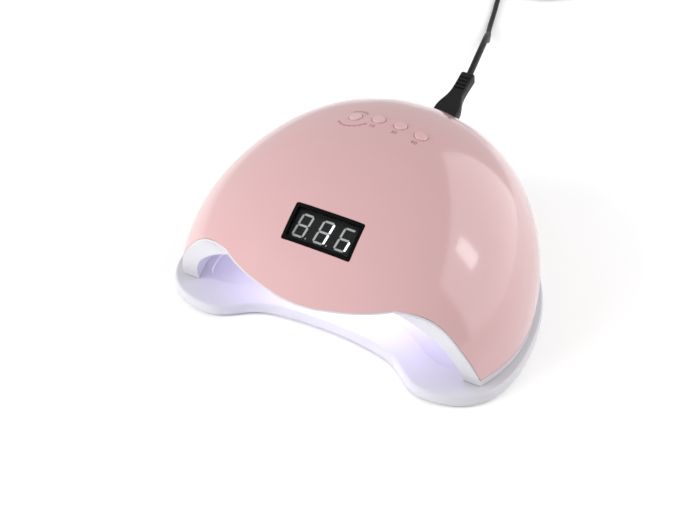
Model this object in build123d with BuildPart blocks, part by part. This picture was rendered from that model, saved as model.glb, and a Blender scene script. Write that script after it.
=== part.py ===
from build123d import *
import math
import os

# UV LED nail lamp, in millimetres. +Z is up, the hand goes in from -Y, and the origin is on the table
# at the middle of the lamp's length and width.

# ---------------------------------------------------------------- driving sizes
# Outer dome: plan and side views are superellipse-like, and every cross-section is a superellipse arch.
dome_half_width = 104.3
dome_height = 96.4
rim_height = 10.0
dome_widest_y = -27.7
dome_crown_y = 3.8
dome_back_y = 100.0
dome_plan_front_y = -135.0
dome_side_front_y = -115.9
plan_power = 1.918
side_power = 1.969
section_power = 2.167
cover_wall = 2.4

# Hand cavity
cavity_half_width = 91.5
cavity_height = 53.0
cavity_widest_y = -27.7
cavity_crown_y = 0.0
cavity_back_y = 86.0
cavity_plan_front_y = -140.0
cavity_side_front_y = -160.0
cavity_side_power = 2.0
cavity_section_power = 2.8
housing_wall = 2.2

# Front opening
foot_y = -67.8
arch_peak = 58.7
visor_dip = 7.4
visor_half_width = 52.0
lip_proud = 1.0
lip_gap = 0.15

# Tray
foot_proud = 0.6
tray_height = 8.0
tray_outset = 3.9
lobe_x = 71.4
lobe_y = -51.4
lobe_radius = 34.6
tray_front_y = -64.0
deck_recess = 1.0

# Clearances
shut_gap = 0.4
seam = 0.2
slip = 0.3
button_slip = 0.25
lens_slip = 0.15

# Housing band that shows under the cover
band_height = 4.4

# Display window, on a plane that leans back from the visor
window_y = -75.5
window_z = 79.5
window_lean = 54.1
window_width = 40.5
window_length = 21.8
window_corner = 1.2
lens_thickness = 1.5
module_width = 37.6
module_length = 19.0
module_depth = 8.0
module_sink = 2.2
board_thickness = 1.6

# Buttons
button_radius = 3.7
button_proud = 0.9
button_spots = [(-20.0, -1.5), (-6.7, 0.5), (6.7, 0.5), (20.0, -1.5)]
button_board_z = 88.0

# UV LEDs
led_rows = [-58.0, -18.0, 22.0, 58.0]
led_angles = [24, 50, 76, 104, 130, 156]
led_radius = 3.0
led_height = 2.0
led_board_side = 11.0
led_board_gap = 0.3
led_board_thickness = 1.2
led_wire_diameter = 1.6

# Driver board
driver_z = 66.0
driver_width = 68.0
driver_length = 54.0
driver_y = 23.0

# Mains inlet and its connector, on an axis that climbs out of the back
inlet_y = 82.0
inlet_z = 65.4
inlet_climb = 17.4
inlet_width = 20.0
inlet_body_height = 12.5
inlet_depth = 18.0
inlet_sink = 2.0
nose_width = 14.6
nose_height = 7.4
nose_length = 8.5
connector_length = 47.9
connector_head_width = 16.8
connector_neck_width = 9.6
connector_thickness = 8.2

# Magnets, feet, screws
magnet_radius = 4.0
magnet_thickness = 3.0
foot_radius = 6.0
foot_thickness = 2.0
screw_radius = 1.25
boss_radius = 3.0
boss_top = 45.0

# Cord
cord_diameter = 4.4

# ---------------------------------------------------------------- worked-out sizes
tray_bottom = foot_proud
deck_z = tray_bottom + tray_height
housing_bottom = deck_z + shut_gap
band_top = housing_bottom + band_height
cover_bottom = band_top + seam
cavity_base = housing_bottom - 1.0


def falloff(y, peak, back, front, power):
    """Share of its greatest size that a dome still has at y."""
    reach = (y - peak) / (back - peak) if y > peak else (peak - y) / (peak - front)
    return (1 - reach**power) ** (1 / power)


def dome_size(y, inset):
    """Half-width and height of the dome's cross-section at y, for a skin moved inwards by inset."""
    width = falloff(y, dome_widest_y, dome_back_y - inset, dome_plan_front_y + inset, plan_power)
    height = falloff(y, dome_crown_y, dome_back_y - inset, dome_side_front_y + inset, side_power)
    return (dome_half_width - inset) * width, (dome_height - inset) * height


def cavity_size(y, grow):
    """Half-width and height of the hand cavity's cross-section at y, for a skin moved outwards by grow."""
    width = falloff(y, cavity_widest_y, cavity_back_y + grow, cavity_plan_front_y - grow, plan_power)
    height = falloff(y, cavity_crown_y, cavity_back_y + grow, cavity_side_front_y - grow, cavity_side_power)
    return (cavity_half_width + grow) * width, (cavity_height + grow) * height


def arch_point(half_width, height, power, degrees):
    """Point on a superellipse arch, 0 degrees at +X and 90 at the top."""
    cosine = math.cos(math.radians(degrees))
    sine = math.sin(math.radians(degrees))
    return (
        math.copysign(half_width * abs(cosine) ** (2 / power), cosine),
        height * abs(sine) ** (2 / power),
    )


def arch_body(size_at, stations, base, power):
    """Smooth solid through one arch at each station along Y, flat at the height base."""
    with BuildPart() as body:
        for y in stations:
            half_width, height = size_at(y)
            arch = [arch_point(half_width, height, power, degrees) for degrees in range(0, 90, 10)]
            arch.append((0, height))
            with BuildSketch(Plane.XZ.offset(-y)):
                with BuildLine():
                    Spline(*[(x, base + z) for x, z in arch], tangents=[(0, 1), (-1, 0)])
                    Polyline((0, base + height), (0, base), (half_width, base))
                make_face()
        loft()
        mirror(about=Plane.YZ)
    return body.part


def stations_between(front, peak, back, last_turn):
    """Places along Y that crowd together towards the back, where the body closes."""
    ahead = [front + (peak - front) * i / 6 for i in range(6)]
    turns = [0, 14, 28, 41, 53, 64, 73, 80, 85, last_turn]
    return ahead + [peak + (back - peak) * math.sin(math.radians(turn)) for turn in turns]


def dome(inset):
    """Solid dome whose skin is inset inside the outer surface."""
    stations = stations_between(-111.0, dome_crown_y, dome_back_y - inset, 88.6)
    return arch_body(lambda y: dome_size(y, inset), stations, rim_height, section_power)


def cavity(grow):
    """Solid of the hand cavity, with its skin moved outwards by grow."""
    stations = stations_between(-104.0, cavity_crown_y, cavity_back_y + grow, 88.2)
    return arch_body(lambda y: cavity_size(y, grow), stations, cavity_base, cavity_section_power)


def dome_top(x, y, inset):
    """Height of the dome's skin over a point."""
    half_width, height = dome_size(y, inset)
    return rim_height + height * (1 - (abs(x) / half_width) ** section_power) ** (1 / section_power)


def cavity_point(y, degrees, grow):
    """Point on the cavity's skin."""
    half_width, height = cavity_size(y, grow)
    x, z = arch_point(half_width, height, cavity_section_power, degrees)
    return Vector(x, y, cavity_base + z)


def cavity_plane(y, degrees):
    """Plane that touches the cavity's skin, with its normal pointing out of the cavity."""
    origin = cavity_point(y, degrees, 0)
    along = cavity_point(y + 0.5, degrees, 0) - cavity_point(y - 0.5, degrees, 0)
    across = cavity_point(y, degrees + 0.5, 0) - cavity_point(y, degrees - 0.5, 0)
    return Plane(origin=origin, x_dir=along, z_dir=across.cross(along))


def mirrored(points):
    """The points, and their mirror images across the middle plane."""
    return points + [(-x, y) for x, y in points]


def ring_middle(y):
    """X of the middle of the housing's rim, between the dome and the cavity."""
    return (dome_size(y, 0)[0] + cavity_size(y, 0)[0]) / 2


def plan_side(half_width_at, back, front):
    """Points along the +X side of a plan outline, from the front to the middle of the back."""
    turns = [90 * i / 12 for i in range(12)]
    side = [front + (back - front) * math.sin(math.radians(turn)) for turn in turns]
    return [(half_width_at(y), y) for y in side] + [(0, back)]


def tray_points(inset):
    """Outline of the tray: a hollow front, a lobe each side, then the dome's plan outset, and inset."""
    out = tray_outset - inset
    right = [(0, tray_front_y + inset)]
    right += [(26.0, tray_front_y - 2.0 + inset), (44.0, tray_front_y - 7.4 + inset)]
    for turn in (-104, -82, -58, -34, -12):
        radius = lobe_radius - inset
        x = lobe_x + radius * math.cos(math.radians(turn))
        y = lobe_y + radius * math.sin(math.radians(turn))
        right.append((x, y))
    for turn in (0, 14, 28, 42, 56, 68, 79):
        share = math.sin(math.radians(turn))
        y = dome_widest_y + (dome_back_y + out - dome_widest_y) * share
        width = (dome_half_width + out) * (1 - share**plan_power) ** (1 / plan_power)
        right.append((width, y))
    left = [(-x, y) for x, y in reversed(right[1:])]
    return right + [(0, dome_back_y + out)] + left


# ---------------------------------------------------------------- shared solids
cover_skin = dome(0)
cover_inside = dome(cover_wall)
housing_skin = dome(cover_wall + slip)
cavity_space = cavity(0)
cavity_shell = cavity(housing_wall)


def front_opening(grow):
    """Space in front of the housing's legs and under the visor, moved into the lamp by grow."""
    leg = [
        (foot_y, 6.0),
        (foot_y, rim_height),
        (foot_y - 4.4, 19.0),
        (foot_y - 8.6, 30.0),
        (foot_y - 11.6, 40.0),
        (foot_y - 13.6, 49.0),
        (foot_y - 17.0, 55.8),
        (foot_y - 26.0, arch_peak),
    ]
    leg = [(y + grow, z + grow * (z > 50)) for y, z in leg]
    far = -150.0
    with BuildPart() as space:
        with BuildSketch(Plane.YZ.offset(-130)):
            with BuildLine():
                Spline(*leg[1:], tangents=[(-0.55, 1), (-1, 0.02)])
                Polyline(leg[-1], (far, leg[-1][1]), (far, leg[0][1]), leg[0], leg[1])
            make_face()
        extrude(amount=260)
        low = arch_peak - visor_dip + grow
        lip = [(0, low), (19, low + 1.7), (36, low + 4.3), (visor_half_width, low + visor_dip + 0.1)]
        with BuildSketch(Plane.XZ.offset(-10)):
            with BuildLine():
                Spline(*[(-x, z) for x, z in reversed(lip[1:])], *lip)
                Polyline(lip[-1], (70, 64), (140, 64), (140, 0), (-140, 0), (-140, 64), (-70, 64),
                         (-lip[-1][0], lip[-1][1]))
            make_face()
        extrude(amount=200, mode=Mode.INTERSECT)
    return space.part


opening_space = front_opening(0)
opening_back = front_opening(housing_wall - lip_proud)
opening_front = front_opening(-lip_proud)

window_plane = Plane(
    origin=(0, window_y, window_z),
    x_dir=(1, 0, 0),
    z_dir=(0, -math.cos(math.radians(window_lean)), math.sin(math.radians(window_lean))),
)
inlet_plane = Plane(
    origin=(0, inlet_y, inlet_z),
    x_dir=(1, 0, 0),
    z_dir=(0, math.cos(math.radians(inlet_climb)), math.sin(math.radians(inlet_climb))),
)


def window_prism(slack, bottom, top):
    """Block with the display window's outline, smaller all round by slack."""
    with BuildPart() as block:
        with BuildSketch(window_plane.offset(bottom)):
            RectangleRounded(window_width - 2 * slack, window_length - 2 * slack, window_corner)
        extrude(amount=top - bottom)
    return block.part


magnet_spots = mirrored([(ring_middle(-48), -48.0), (ring_middle(36), 36.0)])
screw_spots = mirrored([(ring_middle(-61), -61.0), (ring_middle(14), 14.0), (41.0, 80.0)])
peg_spots = mirrored([(ring_middle(-8), -8.0)])
display_post_spots = [(-25.0, 0.0), (25.0, 0.0)]
button_post_spots = [(-28.0, 7.0), (28.0, 7.0)]
driver_post_spots = [(-28.0, 4.0), (28.0, 4.0), (-28.0, 42.0), (28.0, 42.0)]
vent_spots = mirrored([(22.0 + 6.0 * i, 36.0) for i in range(5)])
sensor_y = -68.0

# Top cover: the dome's skin, with its bosses, openings and vents
with BuildPart() as cover_posts:
    with BuildSketch(Plane.XY.offset(cover_bottom)):
        with Locations(*screw_spots):
            Circle(boss_radius)
    extrude(amount=boss_top - cover_bottom)
    with BuildSketch(Plane.XY.offset(button_board_z + board_thickness)):
        with Locations(*button_post_spots):
            Circle(boss_radius)
    extrude(amount=20)
    with BuildSketch(window_plane.offset(-module_sink - module_depth)):
        with Locations(*display_post_spots):
            Circle(2.4)
    extrude(amount=20)
    add(dome(1.0), mode=Mode.INTERSECT)

with BuildPart() as top_cover:
    add(cover_skin)
    add(cover_inside, mode=Mode.SUBTRACT)
    add(cover_posts.part)
    with BuildSketch(Plane.XY):
        Rectangle(400, 400)
    extrude(amount=cover_bottom, mode=Mode.SUBTRACT)
    add(opening_space, mode=Mode.SUBTRACT)
    add(window_prism(0, -6.0, 10.0), mode=Mode.SUBTRACT)
    with BuildSketch(Plane.XY.offset(95)):
        with Locations(*button_spots):
            Circle(button_radius + button_slip)
    extrude(amount=20, mode=Mode.SUBTRACT)
    with BuildSketch(inlet_plane.offset(-8)):
        RectangleRounded(inlet_width + 2 * slip, inlet_body_height + 2 * slip, 2.0)
    extrude(amount=30, mode=Mode.SUBTRACT)
    with BuildSketch(Plane.XY.offset(cover_bottom)):
        with Locations(*screw_spots):
            Circle(screw_radius + 0.05)
    extrude(amount=9, mode=Mode.SUBTRACT)
    with BuildSketch(Plane.XY.offset(button_board_z + board_thickness)):
        with Locations(*button_post_spots):
            Circle(screw_radius + 0.05)
    extrude(amount=6, mode=Mode.SUBTRACT)
    with BuildSketch(Plane.XZ.offset(-60)):
        with Locations(*vent_spots):
            SlotOverall(14.0, 2.2, rotation=90)
    extrude(amount=-60, mode=Mode.SUBTRACT)

# Inner housing: the white hand cavity, its front legs and the rim that stands on the tray
led_planes = [cavity_plane(y, degrees) for y in led_rows for degrees in led_angles]
with BuildPart() as rim_block:
    right = plan_side(lambda y: dome_size(y, slip)[0], dome_back_y - slip, -90.0)
    with BuildSketch(Plane.XY.offset(housing_bottom)):
        with BuildLine():
            Spline(*right, *[(-x, y) for x, y in reversed(right[:-1])])
            Line((-right[0][0], -90.0), (right[0][0], -90.0))
        make_face()
    extrude(amount=band_height)
with BuildPart() as driver_posts:
    with BuildSketch(Plane.XY.offset(40)):
        with Locations(*driver_post_spots):
            Circle(boss_radius)
    extrude(amount=driver_z - 40)
with BuildPart() as front_lip:
    add(front_opening(-lip_gap))
    add(dome(slip), mode=Mode.INTERSECT)
with BuildPart() as inner_housing:
    add(cavity_shell)
    add(opening_back)
    add(housing_skin, mode=Mode.INTERSECT)
    add(driver_posts.part)
    add(rim_block.part)
    add(front_lip.part)
    add(opening_front, mode=Mode.SUBTRACT)
    add(cavity_space, mode=Mode.SUBTRACT)
    with BuildSketch(Plane.XY.offset(housing_bottom)):
        with Locations(*magnet_spots):
            Circle(magnet_radius + 0.1)
    extrude(amount=magnet_thickness + 0.4, mode=Mode.SUBTRACT)
    with BuildSketch(Plane.XY.offset(housing_bottom)):
        with Locations(*peg_spots):
            Circle(2.5)
    extrude(amount=3.0, mode=Mode.SUBTRACT)
    with BuildSketch(Plane.XY.offset(housing_bottom)):
        with Locations(*screw_spots):
            Circle(2.9)
    extrude(amount=2.2, mode=Mode.SUBTRACT)
    with BuildSketch(Plane.XY.offset(housing_bottom)):
        with Locations(*screw_spots):
            Circle(1.5)
    extrude(amount=band_height + 1, mode=Mode.SUBTRACT)
    with Locations(*[plane.location for plane in led_planes]):
        Cylinder(led_radius + slip, 9.0, mode=Mode.SUBTRACT)
    with BuildSketch(Plane.XY.offset(45)):
        with Locations((0, sensor_y)):
            Circle(3.0 + slip)
    extrude(amount=20, mode=Mode.SUBTRACT)


# ---------------------------------------------------------------- tray and what is on it
with BuildPart() as tray:
    with BuildSketch(Plane.XY.offset(tray_bottom)):
        with BuildLine():
            Spline(*tray_points(0), periodic=True)
        make_face()
    extrude(amount=tray_height)
    fillet(tray.edges().group_by(Axis.Z)[-1], 1.6)
    fillet(tray.edges().group_by(Axis.Z)[0], 2.4)
    with BuildSketch(Plane.XY.offset(deck_z - deck_recess)):
        with BuildLine():
            Spline(*tray_points(22.0), periodic=True)
        make_face()
    extrude(amount=deck_recess, mode=Mode.SUBTRACT)
    recess_floor = tray.faces().filter_by(Plane.XY).group_by(Axis.Z)[-2]
    fillet(recess_floor.edges(), 0.9)
    with BuildSketch(Plane.XY.offset(deck_z - 0.5)):
        with Locations(*peg_spots):
            Circle(2.2)
    extrude(amount=3.2, taper=6)
    with BuildSketch(Plane.XY):
        with Locations(*magnet_spots):
            Circle(foot_radius + slip)
    extrude(amount=foot_thickness, mode=Mode.SUBTRACT)
    with BuildSketch(Plane.XY):
        with Locations(*magnet_spots):
            Circle(magnet_radius + 0.1)
    extrude(amount=deck_z - 1.8, mode=Mode.SUBTRACT)

with BuildPart() as tray_feet:
    with BuildSketch(Plane.XY):
        with Locations(*magnet_spots):
            Circle(foot_radius)
    extrude(amount=foot_thickness)
    chamfer(tray_feet.edges().group_by(Axis.Z)[0], 0.4)

with BuildPart() as tray_magnets:
    with BuildSketch(Plane.XY.offset(deck_z - 1.8 - magnet_thickness)):
        with Locations(*magnet_spots):
            Circle(magnet_radius)
    extrude(amount=magnet_thickness)

with BuildPart() as housing_magnets:
    with BuildSketch(Plane.XY.offset(housing_bottom + 0.4)):
        with Locations(*magnet_spots):
            Circle(magnet_radius)
    extrude(amount=magnet_thickness)

# ---------------------------------------------------------------- screws


def screws(spots, head_bottom, length):
    """Pan-head screws that point up from the height head_bottom."""
    with BuildPart() as group:
        with BuildSketch(Plane.XY.offset(head_bottom)):
            with Locations(*spots):
                Circle(2.5)
                Rectangle(2.6, 0.5, mode=Mode.SUBTRACT)
                Rectangle(0.5, 2.6, mode=Mode.SUBTRACT)
        extrude(amount=0.8)
        with BuildSketch(Plane.XY.offset(head_bottom + 0.8)):
            with Locations(*spots):
                Circle(2.5)
        extrude(amount=0.8)
        with BuildSketch(Plane.XY.offset(head_bottom + 1.6)):
            with Locations(*spots):
                Circle(screw_radius)
        extrude(amount=length)
    return group


housing_screws = screws(screw_spots, housing_bottom + 0.6, 9.0)
button_board_screws = screws(button_post_spots, button_board_z - 1.6, 5.0)

# ---------------------------------------------------------------- display
with BuildPart() as lens_void:
    add(dome(0.05 + lens_thickness))
with BuildPart() as display_lens:
    add(dome(0.05))
    add(lens_void.part, mode=Mode.SUBTRACT)
    add(window_prism(lens_slip, -6.0, 10.0), mode=Mode.INTERSECT)

with BuildPart() as display_bezel:
    add(dome(0.15 + lens_thickness))
    add(window_prism(lens_slip + 0.1, -9.0, 3.0), mode=Mode.INTERSECT)
    with BuildSketch(window_plane.offset(-10)):
        Rectangle(module_width + 0.3, module_length + 0.3)
    extrude(amount=20, mode=Mode.SUBTRACT)

with BuildPart() as display_module:
    with BuildSketch(window_plane.offset(-module_sink)):
        Rectangle(module_width, module_length)
    extrude(amount=-module_depth + 0.1)
    chamfer(display_module.faces().sort_by(Axis((0, 0, 0), window_plane.z_dir))[-1].edges(), 0.3)

display_board_face = -module_sink - module_depth
with BuildPart() as display_board:
    with BuildSketch(window_plane.offset(display_board_face)):
        RectangleRounded(60.0, 23.0, 1.5)
        with Locations(*display_post_spots):
            Circle(1.3, mode=Mode.SUBTRACT)
    extrude(amount=-board_thickness)

# ---------------------------------------------------------------- buttons and their switches
with BuildPart() as button_board:
    with BuildSketch(Plane.XY.offset(button_board_z)):
        RectangleRounded(64.0, 24.0, 2.0)
        with Locations(*button_post_spots):
            Circle(1.5, mode=Mode.SUBTRACT)
    extrude(amount=board_thickness)

switch_base = button_board_z + board_thickness
switch_top = switch_base + 3.6
with BuildPart() as switch_bodies:
    with BuildSketch(Plane.XY.offset(switch_base)):
        with Locations(*button_spots):
            RectangleRounded(6.0, 6.0, 0.5)
    extrude(amount=switch_top - switch_base)
    with BuildSketch(Plane.XY.offset(switch_top - 1.8)):
        with Locations(*button_spots):
            Circle(1.7)
    extrude(amount=1.8, mode=Mode.SUBTRACT)

plunger_top = switch_top + 1.8
button_skin = dome(-button_proud)
buttons = []
plungers = []
for x, y in button_spots:
    with BuildPart() as plunger:
        with BuildSketch(Plane.XY.offset(switch_top - 1.0)):
            with Locations((x, y)):
                Circle(1.55)
        extrude(amount=plunger_top - switch_top + 1.0)
    plungers.append(plunger)
    flange_radius = button_radius + 1.5
    flange_top = dome_top(abs(x) + flange_radius, y, cover_wall) - 0.35
    with BuildPart() as button:
        with BuildSketch(Plane.XY.offset(flange_top - 1.2)):
            with Locations((x, y)):
                Circle(button_radius)
        extrude(amount=20)
        add(button_skin, mode=Mode.INTERSECT)
        fillet(button.edges().group_by(Axis.Z)[-1], 0.7)
        with BuildSketch(Plane.XY.offset(flange_top - 1.2)):
            with Locations((x, y)):
                Circle(flange_radius)
        extrude(amount=1.2)
        with BuildSketch(Plane.XY.offset(plunger_top)):
            with Locations((x, y)):
                Circle(1.6)
        extrude(amount=flange_top - 1.2 - plunger_top)
    buttons.append(button)

# ---------------------------------------------------------------- UV LEDs on their boards
led_locations = [plane.location for plane in led_planes]
with BuildPart() as led_beads:
    with Locations(*led_locations):
        Cylinder(led_radius, led_height, align=(Align.CENTER, Align.CENTER, Align.MIN))
with BuildPart() as led_lenses:
    with Locations(*led_locations):
        Cone(2.5, 1.3, 1.2, align=(Align.CENTER, Align.CENTER, Align.MIN), rotation=(180, 0, 0))

with BuildPart() as led_boards:
    for plane in led_planes:
        with BuildSketch(plane.offset(housing_wall + led_board_gap)):
            RectangleRounded(led_board_side, led_board_side, 1.5)
        extrude(amount=led_board_thickness)

led_wire_lift = housing_wall + led_board_gap + led_board_thickness + led_wire_diameter / 2 + 0.6
with BuildPart() as led_wires:
    for y in led_rows:
        arch = [cavity_point(y, degrees, led_wire_lift) for degrees in range(24, 157, 12)]
        with BuildLine() as row:
            Spline(*[tuple(point) for point in arch])
        with BuildSketch(Plane(origin=row.wires()[0] @ 0, z_dir=row.wires()[0] % 0)):
            Circle(led_wire_diameter / 2)
        sweep(path=row.wires()[0])

with BuildPart() as hand_sensor:
    roof = cavity_base + cavity_size(sensor_y, 0)[1]
    with BuildSketch(Plane.XY.offset(roof - 1.0)):
        with Locations((0, sensor_y)):
            Circle(3.0)
    extrude(amount=8.0)
    fillet(hand_sensor.edges().group_by(Axis.Z)[0], 1.2)

# ---------------------------------------------------------------- driver board
with BuildPart() as driver_board:
    with BuildSketch(Plane.XY.offset(driver_z)):
        with Locations((0, driver_y)):
            RectangleRounded(driver_width, driver_length, 2.0)
        with Locations(*driver_post_spots):
            Circle(1.5, mode=Mode.SUBTRACT)
    extrude(amount=board_thickness)

board_top = driver_z + board_thickness
with BuildPart() as transformer:
    with BuildSketch(Plane.XY.offset(board_top)):
        with Locations((-14.0, 14.0)):
            RectangleRounded(22.0, 18.0, 1.0)
    extrude(amount=4.0)
    with BuildSketch(Plane.XY.offset(board_top + 4.0)):
        with Locations((-14.0, 14.0)):
            RectangleRounded(16.0, 18.0, 3.0)
    extrude(amount=9.0)
    with BuildSketch(Plane.XY.offset(board_top + 13.0)):
        with Locations((-14.0, 14.0)):
            RectangleRounded(22.0, 18.0, 1.0)
    extrude(amount=3.0)

with BuildPart() as capacitors:
    with BuildSketch(Plane.XY.offset(board_top)):
        with Locations((10.0, 12.0), (10.0, 27.0)):
            Circle(5.0)
    extrude(amount=16.0)
    fillet(capacitors.edges().group_by(Axis.Z)[-1], 0.8)

with BuildPart() as heat_sink:
    with BuildSketch(Plane.XY.offset(board_top)):
        with Locations((-14.0, 30.0)):
            Rectangle(24.0, 2.0)
        with Locations((-14.0, 34.0)):
            with GridLocations(4.6, 1, 5, 1):
                Rectangle(1.4, 6.4)
    extrude(amount=15.0)

with BuildPart() as buzzer:
    with BuildSketch(Plane.XY.offset(board_top)):
        with Locations((25.0, 15.0)):
            Circle(5.0)
            Circle(1.0, mode=Mode.SUBTRACT)
    extrude(amount=6.0)

with BuildPart() as driver_board_screws:
    with BuildSketch(Plane.XY.offset(board_top)):
        with Locations(*driver_post_spots):
            Circle(2.5)
    extrude(amount=1.6)
    with BuildSketch(Plane.XY.offset(driver_z - 5)):
        with Locations(*driver_post_spots):
            Circle(screw_radius)
    extrude(amount=board_thickness + 5)

# ---------------------------------------------------------------- mains inlet, connector and cord
with BuildPart() as inlet_socket:
    with BuildSketch(inlet_plane.offset(-inlet_sink - inlet_depth)):
        RectangleRounded(inlet_width, inlet_body_height, 1.8)
    extrude(amount=inlet_depth)
    with BuildSketch(inlet_plane.offset(-inlet_sink)):
        SlotOverall(nose_width + 2 * slip, nose_height + 2 * slip)
    extrude(amount=-nose_length - 1.0, mode=Mode.SUBTRACT)

pin_back = -inlet_sink - nose_length - 1.0
with BuildPart() as inlet_pins:
    with BuildSketch(inlet_plane.offset(pin_back)):
        with Locations((-3.6, 0), (3.6, 0)):
            Circle(1.1)
    extrude(amount=nose_length)
    fillet(inlet_pins.faces().filter_by(GeomType.PLANE).group_by(Axis.Y)[-1].edges(), 0.6)

head_back = -inlet_sink + 0.3
head_half = connector_head_width / 2
neck_half = connector_neck_width / 2
with BuildPart() as connector:
    profile_plane = Plane(origin=inlet_plane.origin, x_dir=(1, 0, 0), z_dir=inlet_plane.y_dir)
    with BuildSketch(profile_plane.offset(-connector_thickness / 2)):
        with BuildLine():
            flare = Spline(
                (head_half, -head_back - 12.0),
                (neck_half + 0.9, -head_back - 24.0),
                (neck_half, -head_back - connector_length),
                tangents=[(0, -1), (0, -1)],
            )
            mirror(flare, about=Plane.YZ)
            Line((-neck_half, -head_back - connector_length), (neck_half, -head_back - connector_length))
            Polyline((head_half, -head_back - 12.0), (head_half, -head_back), (-head_half, -head_back),
                     (-head_half, -head_back - 12.0))
        make_face()
    extrude(amount=connector_thickness)
    fillet(connector.edges().filter_by(lambda edge: edge.length > 8), 1.6)
    with BuildSketch(inlet_plane.offset(head_back)):
        SlotOverall(nose_width, nose_height)
        with Locations((-3.6, 0), (3.6, 0)):
            Circle(1.4, mode=Mode.SUBTRACT)
    extrude(amount=-nose_length)
    for i in range(4):
        with BuildSketch(inlet_plane.offset(head_back + connector_length - 5.0 - 3.4 * i)):
            with Locations((0, connector_thickness / 2), (0, -connector_thickness / 2)):
                Rectangle(connector_neck_width - 2.4, 1.2)
        extrude(amount=-1.5, mode=Mode.SUBTRACT)


def gentle_radii(points):
    """Radius of each corner: as large as its two runs allow."""
    radii = []
    for before, corner, after in zip(points, points[1:], points[2:]):
        ahead = Vector(after) - Vector(corner)
        behind = Vector(corner) - Vector(before)
        turn = math.radians(behind.get_angle(ahead))
        radii.append(0.45 * min(ahead.length, behind.length) / math.tan(turn / 2))
    return radii


def tube(points, diameter, name):
    """Round cable along straight runs and tangent arcs."""
    radii = gentle_radii(points)
    with BuildPart() as cable:
        with BuildLine() as path:
            FilletPolyline(*points, radius=radii)
        with BuildSketch(Plane(origin=path.wires()[0] @ 0, z_dir=path.wires()[0] % 0)):
            Circle(diameter / 2)
        sweep()
    length = path.wires()[0].length
    expected = length * math.pi * diameter**2 / 4
    print(name, "length", round(length, 1), "radii", [round(radius, 1) for radius in radii],
          "volume share", round(cable.part.volume / expected, 4))
    return cable


cord_exit = inlet_plane.origin + inlet_plane.z_dir * (head_back + connector_length)
cord_route = [
    tuple(cord_exit),
    (-2.0, 146.0, 85.6),
    (-8.0, 176.0, 84.5),
    (-18.0, 212.0, 71.0),
    (-30.0, 249.0, 50.0),
    (-42.0, 287.0, 28.0),
    (-54.0, 324.0, 10.5),
    (-66.0, 362.0, 2.4),
    (-75.0, 400.0, 2.2),
    (-85.0, 437.0, 2.2),
    (-88.8, 477.0, 3.0),
]
coil_x = -57.7
coil_y = 487.9
coil_radius = 6 * cord_diameter
coil_width = 4 * cord_diameter
coil_height = 2 * cord_diameter
coil_lift = 0.8
cord = tube(cord_route, cord_diameter, "cord")

with BuildPart() as cord_coil:
    with BuildSketch(Plane.XZ.offset(-coil_y)):
        with Locations((coil_x + coil_radius, coil_lift + coil_height / 2)):
            RectangleRounded(coil_width, coil_height, 2.0)
    revolve(axis=Axis((coil_x, coil_y, 0), (0, 0, 1)))

with BuildPart() as coil_tie:
    with BuildSketch(Plane.XZ.offset(-coil_y)):
        with Locations((coil_x + coil_radius, coil_lift + coil_height / 2)):
            RectangleRounded(coil_width + 2 * coil_lift, coil_height + 2 * coil_lift, 2.6)
    extrude(amount=4.0, both=True)
    add(cord_coil.part, mode=Mode.SUBTRACT)

plug_height = 13.7
plug_width = 26.0
plug_body_length = 33.0
relief_length = 20.0
plug_z = plug_height / 2
tail_length = 22.0
tail_y = coil_y + coil_radius + 1.8 * cord_diameter
with BuildPart() as cord_tail:
    with BuildSketch(Plane.YZ.offset(coil_x + 2.0)):
        with Locations((tail_y, plug_z)):
            Circle(cord_diameter / 2)
    extrude(amount=tail_length)

plug_plane = Plane(origin=(coil_x + 2.0 + tail_length, tail_y, plug_z), x_dir=(0, 1, 0), z_dir=(1, 0, 0))
with BuildPart() as mains_plug:
    with BuildSketch(plug_plane):
        Circle(cord_diameter / 2 + 0.9)
    with BuildSketch(plug_plane.offset(relief_length)):
        Ellipse(6.5, 4.4)
    loft()
    with BuildSketch(plug_plane.offset(relief_length)):
        RectangleRounded(15.0, plug_height, 4.5)
    with BuildSketch(plug_plane.offset(relief_length + 18.0)):
        RectangleRounded(plug_width, plug_height, 4.5)
    loft()
    with BuildSketch(plug_plane.offset(relief_length + 18.0)):
        RectangleRounded(plug_width, plug_height, 4.5)
    extrude(amount=plug_body_length - 18.0)

with BuildPart() as plug_pins:
    with BuildSketch(plug_plane.offset(relief_length + plug_body_length)):
        with Locations((-9.3, 0), (9.3, 0)):
            Circle(2.0)
    extrude(amount=19.0)
    fillet(plug_pins.edges().group_by(Axis.X)[-1], 1.4)

# ---------------------------------------------------------------- wires inside
mains_leads_start = inlet_plane.origin - inlet_plane.z_dir * (inlet_sink + inlet_depth)
mains_lead = tube(
    [tuple(mains_leads_start), tuple(mains_leads_start - inlet_plane.z_dir * 6.0),
     (0, 55.0, 71.0), (0, 46.5, 74.5), (0, 46.5, board_top)], 3.0, "mains_lead")
display_back = Vector(0, window_y, window_z) + window_plane.z_dir * (display_board_face - board_thickness)
display_harness = tube(
    [tuple(display_back), tuple(display_back - window_plane.z_dir * 7.0),
     (0, -40.0, 76.0), (0, -10.0, 78.0), (0, 2.0, 76.0), (0, 2.0, board_top)], 3.0, "display_harness")
button_harness = tube(
    [(-24.0, -3.0, button_board_z), (-24.0, -3.0, 82.0), (-28.0, 6.0, 77.0), (-30.5, 14.0, 74.0),
     (-30.5, 14.0, board_top)], 2.6, "button_harness")

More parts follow.
